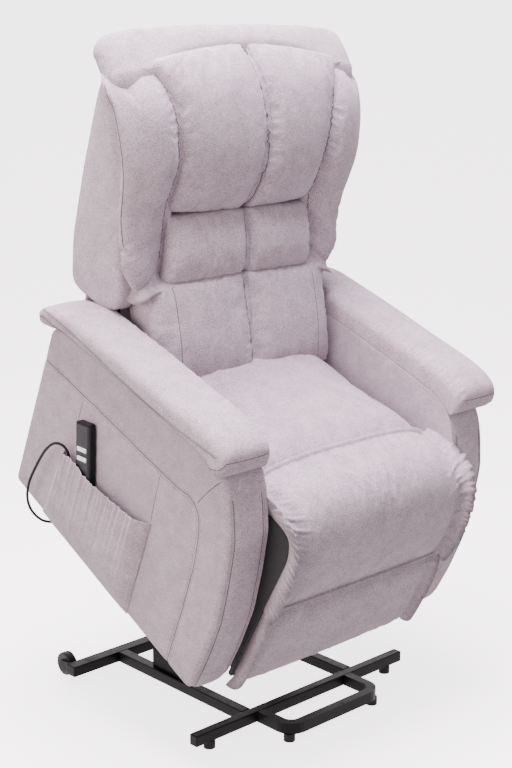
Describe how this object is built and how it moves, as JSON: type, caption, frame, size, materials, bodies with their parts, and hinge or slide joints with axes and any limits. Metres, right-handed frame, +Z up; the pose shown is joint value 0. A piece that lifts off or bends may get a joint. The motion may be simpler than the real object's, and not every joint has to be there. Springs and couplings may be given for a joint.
{
  "type": "lift recliner chair",
  "caption": "Upholstered powered chair that reclines, raises a leg rest and tips forward on a steel lift base, with a wired hand control in a side pocket.",
  "frame": {"origin": "on the floor under the middle of the raised chair's outer box", "axes": "+Z up, the sitter faces -Y, +X is the sitter's left"},
  "size_m": [0.818, 0.7673, 1.4592],
  "materials": {
    "upholstery": "mottled pinkish-grey brushed woven upholstery",
    "black_steel": "black satin powder coat",
    "bright_steel": "zinc plated",
    "black_plastic": "fine moulded texture",
    "roller_plastic": "moulded nylon",
    "black_rubber": "matte",
    "white_button": "smooth moulded",
    "plywood": "unfinished"
  },
  "bodies": {
    "base": {"front_cross_tube": "black_steel", "rear_cross_tube": "black_steel", "left_base_rail": "black_steel", "right_base_rail": "black_steel", "front_loop": "black_steel", "glide_front_left": "black_rubber", "glide_front_right": "black_rubber", "glide_loop_left": "black_rubber", "glide_loop_right": "black_rubber", "left_upright": "black_steel", "right_upright": "black_steel", "roller_bracket_left": "black_steel", "roller_bracket_right": "black_steel"},
    "left_roller": {"transport_roller_left": "roller_plastic"},
    "right_roller": {"transport_roller_right": "roller_plastic"},
    "lift_arms": {"lift_arm_frame": "black_steel"},
    "guide_links": {"guide_link_left": "black_steel", "guide_link_right": "black_steel"},
    "chair_frame": {"seat_rail_left": "black_steel", "seat_rail_right": "black_steel", "front_seat_member": "black_steel", "rear_seat_member": "black_steel", "lift_hanger_left": "black_steel", "lift_hanger_right": "black_steel", "seat_deck": "plywood", "control_box": "black_plastic", "arm_left": "upholstery", "arm_right": "upholstery", "arm_pad_left": "upholstery", "arm_pad_right": "upholstery", "seat_cushion": "upholstery", "seat_front_roll": "upholstery", "rear_apron": "upholstery", "pocket": "upholstery", "handset_case": "black_plastic", "handset_cord": "black_rubber", "cord_grommet": "black_rubber"},
    "leg_rest": {"leg_rest_board": "plywood", "leg_rest_pad": "upholstery", "leg_rest_lower_pad": "upholstery", "leg_rest_strap_left": "black_steel", "leg_rest_strap_right": "black_steel", "leg_rest_bracket": "black_steel"},
    "back": {"back_panel": "upholstery", "back_wing_left": "upholstery", "back_wing_right": "upholstery", "back_strap_left": "black_steel", "back_strap_right": "black_steel", "lower_back_cushion": "upholstery", "lumbar_cushion": "upholstery", "head_cushion": "upholstery", "bolster_left": "upholstery", "bolster_right": "upholstery"},
    "lift_motor": {"lift_actuator_body": "black_plastic"},
    "lift_rod": {"lift_actuator_rod": "bright_steel"},
    "recline_motor": {"recline_actuator_body": "black_plastic"},
    "recline_rod": {"recline_actuator_rod": "bright_steel"},
    "lift_key": {"lift_button": "white_button"},
    "recline_key": {"recline_button": "white_button"}
  },
  "joints": [
    {"name": "lift", "type": "hinge", "parent": "base", "child": "lift_arms", "pos_m": [0, 0.147, 0.135], "axis": [1, 0, 0], "range_deg": [0, 26.29]},
    {"name": "chair_tilt", "type": "hinge", "parent": "lift_arms", "child": "chair_frame", "pos_m": [0, -0.13189, 0.21392], "axis": [1, 0, 0], "range_deg": [-54.3, 0]},
    {"name": "guide_link_swing", "type": "hinge", "parent": "base", "child": "guide_links", "pos_m": [0, 0.132, 0.195], "axis": [1, 0, 0], "range_deg": [0, 41.67]},
    {"name": "lift_actuator_swing", "type": "hinge", "parent": "base", "child": "lift_motor", "pos_m": [0, 0.287, 0.085], "axis": [1, 0, 0], "range_deg": [0, 12.06]},
    {"name": "lift_rod_slide", "type": "slide", "parent": "lift_motor", "child": "lift_rod", "axis": [0, -0.7934, 0.6087], "range_m": [-0.15145, 0]},
    {"name": "back_recline", "type": "hinge", "parent": "chair_frame", "child": "back", "pos_m": [0, 0.20859, 0.73446], "axis": [-1, 0, 0], "range_deg": [0, 40]},
    {"name": "leg_rest_swing", "type": "hinge", "parent": "chair_frame", "child": "leg_rest", "pos_m": [0, -0.35349, 0.49223], "axis": [-1, 0, 0], "range_deg": [0, 80]},
    {"name": "recline_actuator_swing", "type": "hinge", "parent": "chair_frame", "child": "recline_motor", "pos_m": [0.105, 0.14422, 0.53601], "axis": [-1, 0, 0], "range_deg": [0, 2.02]},
    {"name": "recline_rod_slide", "type": "slide", "parent": "recline_motor", "child": "recline_rod", "axis": [0, -0.9614, -0.275], "range_m": [0, 0.14259]},
    {"name": "left_roller_spin", "type": "hinge", "parent": "base", "child": "left_roller", "pos_m": [0.272, 0.3565, 0.027], "axis": [1, 0, 0], "continuous": true},
    {"name": "right_roller_spin", "type": "hinge", "parent": "base", "child": "right_roller", "pos_m": [-0.272, 0.3565, 0.027], "axis": [1, 0, 0], "continuous": true},
    {"name": "lift_button_press", "type": "slide", "parent": "chair_frame", "child": "lift_key", "axis": [1, 0, 0], "range_m": [0, 0.0012], "stiffness_N_per_m": 800},
    {"name": "recline_button_press", "type": "slide", "parent": "chair_frame", "child": "recline_key", "axis": [1, 0, 0], "range_m": [0, 0.0012], "stiffness_N_per_m": 800}
  ],
  "couplings": [
    {"joint": "chair_tilt", "follows": "lift", "ratio": -2.0651},
    {"joint": "guide_link_swing", "follows": "lift", "ratio": 1.5847},
    {"joint": "lift_actuator_swing", "follows": "lift", "ratio": 0.45852},
    {"joint": "lift_rod_slide", "follows": "lift", "m_per_rad": -0.32986},
    {"joint": "leg_rest_swing", "follows": "back_recline", "ratio": 2},
    {"joint": "recline_actuator_swing", "follows": "back_recline", "ratio": 0.050274},
    {"joint": "recline_rod_slide", "follows": "back_recline", "m_per_rad": 0.2041}
  ]
}
